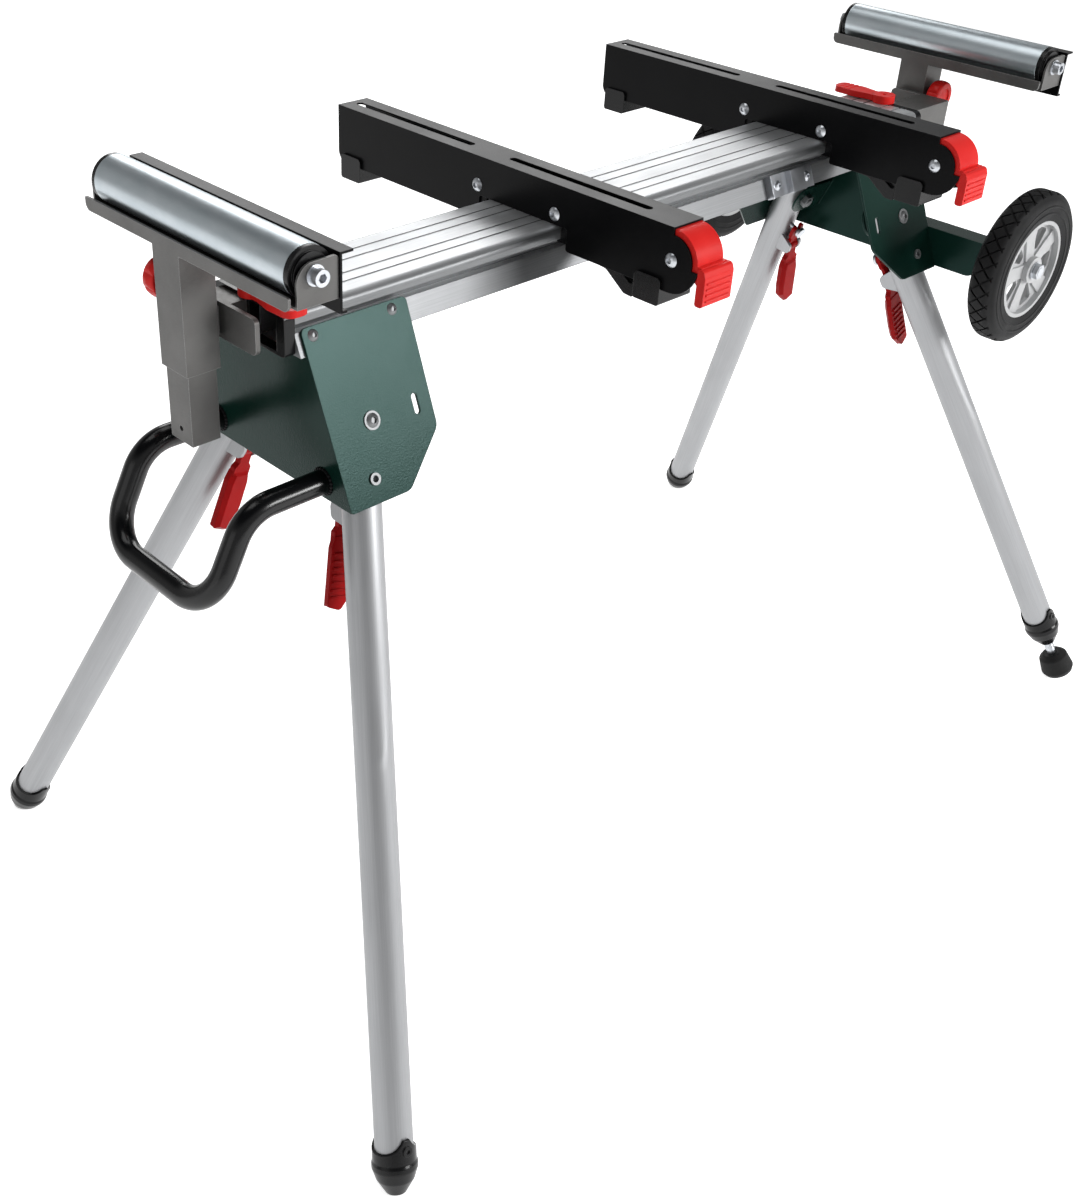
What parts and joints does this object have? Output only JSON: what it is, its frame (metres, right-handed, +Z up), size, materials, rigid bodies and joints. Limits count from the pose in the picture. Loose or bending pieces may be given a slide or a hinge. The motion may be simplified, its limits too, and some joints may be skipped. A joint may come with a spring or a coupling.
{
  "type": "miter saw stand",
  "caption": "Folding work stand: aluminium beam on splayed locking legs, slotted tool arms with red cam levers, pull-out roller supports, wheels and a carry handle.",
  "frame": {"origin": "middle of the bounding box in X and Y, on the floor", "axes": "+X along the beam towards the wheels, -Y towards the ends of the arms with the red levers, +Z up"},
  "size_m": [1.3648, 0.7884, 0.9115],
  "materials": {
    "aluminium": "satin",
    "green_paint": "satin",
    "black_paint": "satin",
    "grey_steel": "satin",
    "zinc": "zinc plated",
    "roller_steel": "brushed",
    "black_plastic": "matte",
    "red_plastic": "satin",
    "dark_red_plastic": "satin",
    "grey_plastic": "satin",
    "rubber": "matte",
    "tyre": "matte"
  },
  "bodies": {
    "frame": {"beam": "aluminium", "beam_end_caps": "black_plastic", "left_bracket": "green_paint", "right_bracket": "green_paint", "bracket_screws": "zinc", "leg_pivot_bolts": "zinc", "lock_bushes": "zinc", "stop_bracket": "zinc", "carry_handle": "black_paint", "axle_channel": "green_paint", "wheel_axle": "zinc"},
    "left_arm": {"left_arm_bar": "black_paint", "left_arm_pads": "black_plastic", "left_arm_bolts": "zinc"},
    "left_jaw": {"left_arm_jaw": "black_plastic"},
    "left_cam_lever": {"left_cam_lever": "red_plastic"},
    "right_arm": {"right_arm_bar": "black_paint", "right_arm_pads": "black_plastic", "right_arm_bolts": "zinc"},
    "right_jaw": {"right_arm_jaw": "black_plastic"},
    "right_cam_lever": {"right_cam_lever": "red_plastic"},
    "left_extension": {"left_rail": "grey_steel"},
    "left_roller_head": {"left_roller_bracket": "grey_steel", "left_stop_plate": "black_paint", "left_roller_axle": "zinc"},
    "left_roller": {"left_roller_tube": "roller_steel", "left_roller_caps": "black_plastic"},
    "left_clamp_knob": {"left_knob": "red_plastic"},
    "left_rail_clamp": {"left_rail_lever": "red_plastic"},
    "right_extension": {"right_rail": "grey_steel"},
    "right_roller_head": {"right_roller_bracket": "grey_steel", "right_stop_plate": "black_paint", "right_roller_axle": "zinc"},
    "right_roller": {"right_roller_tube": "roller_steel", "right_roller_caps": "black_plastic"},
    "right_clamp_knob": {"right_knob": "red_plastic"},
    "right_rail_clamp": {"right_rail_lever": "red_plastic"},
    "left_front_leg": {"left_front_leg": "aluminium", "left_front_foot": "black_plastic"},
    "left_front_release": {"left_front_release_lever": "dark_red_plastic"},
    "left_front_pin": {"left_front_lock_pin": "zinc"},
    "left_back_leg": {"left_back_leg": "aluminium", "left_back_foot": "black_plastic"},
    "left_back_release": {"left_back_release_lever": "dark_red_plastic"},
    "left_back_pin": {"left_back_lock_pin": "zinc"},
    "right_front_leg": {"right_front_leg": "aluminium", "right_front_foot": "black_plastic"},
    "right_front_release": {"right_front_release_lever": "dark_red_plastic"},
    "right_front_pin": {"right_front_lock_pin": "zinc"},
    "levelling_foot": {"levelling_stem": "zinc", "levelling_rubber": "rubber"},
    "right_back_leg": {"right_back_leg": "aluminium", "right_back_foot": "black_plastic"},
    "right_back_release": {"right_back_release_lever": "dark_red_plastic"},
    "right_back_pin": {"right_back_lock_pin": "zinc"},
    "front_wheel": {"front_wheel_rim": "grey_plastic", "front_wheel_tyre": "tyre"},
    "back_wheel": {"back_wheel_rim": "grey_plastic", "back_wheel_tyre": "tyre"}
  },
  "joints": [
    {"name": "left_arm_slide", "type": "slide", "parent": "frame", "child": "left_arm", "axis": [1, 0, 0], "range_m": [-0.2, 0.15]},
    {"name": "left_cam_turn", "type": "hinge", "parent": "left_arm", "child": "left_cam_lever", "pos_m": [-0.15017, -0.206, 0.8165], "axis": [-1, 0, 0], "range_deg": [0, 80]},
    {"name": "left_jaw_slide", "type": "slide", "parent": "left_arm", "child": "left_jaw", "axis": [0, -1, 0], "range_m": [0, 0.003]},
    {"name": "right_arm_slide", "type": "slide", "parent": "frame", "child": "right_arm", "axis": [1, 0, 0], "range_m": [-0.25, 0.015]},
    {"name": "right_cam_turn", "type": "hinge", "parent": "right_arm", "child": "right_cam_lever", "pos_m": [0.31343, -0.206, 0.8165], "axis": [-1, 0, 0], "range_deg": [0, 80]},
    {"name": "right_jaw_slide", "type": "slide", "parent": "right_arm", "child": "right_jaw", "axis": [0, -1, 0], "range_m": [0, 0.003]},
    {"name": "left_rail_slide", "type": "slide", "parent": "frame", "child": "left_extension", "axis": [-1, 0, 0], "range_m": [0, 0.6]},
    {"name": "left_height_slide", "type": "slide", "parent": "left_extension", "child": "left_roller_head", "axis": [0, 0, 1], "range_m": [-0.023, 0.052]},
    {"name": "left_roller_spin", "type": "hinge", "parent": "left_roller_head", "child": "left_roller", "pos_m": [-0.57257, 0, 0.888], "axis": [0, 1, 0], "continuous": true},
    {"name": "left_knob_turn", "type": "hinge", "parent": "left_roller_head", "child": "left_clamp_knob", "pos_m": [-0.58157, 0.045, 0.82], "axis": [0, 1, 0], "continuous": true},
    {"name": "left_rail_clamp_turn", "type": "hinge", "parent": "frame", "child": "left_rail_clamp", "pos_m": [-0.52457, 0, 0.807], "axis": [0, 0, 1], "range_deg": [0, 80]},
    {"name": "right_rail_slide", "type": "slide", "parent": "frame", "child": "right_extension", "axis": [1, 0, 0], "range_m": [-0.06, 0.54]},
    {"name": "right_height_slide", "type": "slide", "parent": "right_extension", "child": "right_roller_head", "axis": [0, 0, 1], "range_m": [0, 0.075]},
    {"name": "right_roller_spin", "type": "hinge", "parent": "right_roller_head", "child": "right_roller", "pos_m": [0.62543, 0, 0.865], "axis": [0, 1, 0], "continuous": true},
    {"name": "right_knob_turn", "type": "hinge", "parent": "right_roller_head", "child": "right_clamp_knob", "pos_m": [0.61643, 0.003, 0.797], "axis": [0, -1, 0], "continuous": true},
    {"name": "right_rail_clamp_turn", "type": "hinge", "parent": "frame", "child": "right_rail_clamp", "pos_m": [0.49743, 0, 0.807], "axis": [0, 0, 1], "range_deg": [0, 80]},
    {"name": "left_front_leg_fold", "type": "hinge", "parent": "frame", "child": "left_front_leg", "pos_m": [-0.46157, -0.07559, 0.68364], "axis": [0, -0.9135, 0.4067], "range_deg": [0, 108.25]},
    {"name": "left_front_release_squeeze", "type": "hinge", "parent": "left_front_leg", "child": "left_front_release", "pos_m": [-0.48419, -0.08193, 0.59564], "axis": [-0.9648, 0.107, 0.2403], "range_deg": [0, 11.4], "stiffness_Nm_per_rad": 0.6, "springref_deg": -20.05},
    {"name": "left_front_pin_slide", "type": "slide", "parent": "left_front_leg", "child": "left_front_pin", "axis": [0, 0.9135, -0.4067], "range_m": [0, 0.0062]},
    {"name": "left_back_leg_fold", "type": "hinge", "parent": "frame", "child": "left_back_leg", "pos_m": [-0.46157, 0.07559, 0.68364], "axis": [0, -0.9135, -0.4067], "range_deg": [0, 108.25]},
    {"name": "left_back_release_squeeze", "type": "hinge", "parent": "left_back_leg", "child": "left_back_release", "pos_m": [-0.48419, 0.08193, 0.59564], "axis": [0.9648, 0.107, -0.2403], "range_deg": [0, 11.4], "stiffness_Nm_per_rad": 0.6, "springref_deg": -20.05},
    {"name": "left_back_pin_slide", "type": "slide", "parent": "left_back_leg", "child": "left_back_pin", "axis": [0, -0.9135, -0.4067], "range_m": [0, 0.0062]},
    {"name": "right_front_leg_fold", "type": "hinge", "parent": "frame", "child": "right_front_leg", "pos_m": [0.43443, -0.07559, 0.68364], "axis": [0, 0.9135, -0.4067], "range_deg": [0, 104.15]},
    {"name": "right_front_release_squeeze", "type": "hinge", "parent": "right_front_leg", "child": "right_front_release", "pos_m": [0.45978, -0.0816, 0.59636], "axis": [-0.9555, -0.1199, -0.2694], "range_deg": [0, 11.4], "stiffness_Nm_per_rad": 0.6, "springref_deg": -20.05},
    {"name": "right_front_pin_slide", "type": "slide", "parent": "right_front_leg", "child": "right_front_pin", "axis": [0, 0.9135, -0.4067], "range_m": [0, 0.0062]},
    {"name": "levelling_slide", "type": "slide", "parent": "right_front_leg", "child": "levelling_foot", "axis": [0.2949, -0.3887, -0.8729], "range_m": [0, 0.02]},
    {"name": "right_back_leg_fold", "type": "hinge", "parent": "frame", "child": "right_back_leg", "pos_m": [0.43443, 0.07559, 0.68364], "axis": [0, 0.9135, 0.4067], "range_deg": [0, 104.15]},
    {"name": "right_back_release_squeeze", "type": "hinge", "parent": "right_back_leg", "child": "right_back_release", "pos_m": [0.45978, 0.0816, 0.59636], "axis": [0.9555, -0.1199, 0.2694], "range_deg": [0, 11.4], "stiffness_Nm_per_rad": 0.6, "springref_deg": -20.05},
    {"name": "right_back_pin_slide", "type": "slide", "parent": "right_back_leg", "child": "right_back_pin", "axis": [0, -0.9135, -0.4067], "range_m": [0, 0.0062]},
    {"name": "front_wheel_spin", "type": "hinge", "parent": "frame", "child": "front_wheel", "pos_m": [0.50243, -0.237, 0.652], "axis": [0, 1, 0], "continuous": true},
    {"name": "back_wheel_spin", "type": "hinge", "parent": "frame", "child": "back_wheel", "pos_m": [0.50243, 0.237, 0.652], "axis": [0, 1, 0], "continuous": true}
  ],
  "couplings": [
    {"joint": "left_jaw_slide", "follows": "left_cam_turn", "m_per_rad": 0.002},
    {"joint": "right_jaw_slide", "follows": "right_cam_turn", "m_per_rad": 0.002},
    {"joint": "left_front_pin_slide", "follows": "left_front_release_squeeze", "m_per_rad": 0.03},
    {"joint": "left_back_pin_slide", "follows": "left_back_release_squeeze", "m_per_rad": 0.03},
    {"joint": "right_front_pin_slide", "follows": "right_front_release_squeeze", "m_per_rad": 0.03},
    {"joint": "right_back_pin_slide", "follows": "right_back_release_squeeze", "m_per_rad": 0.03}
  ]
}
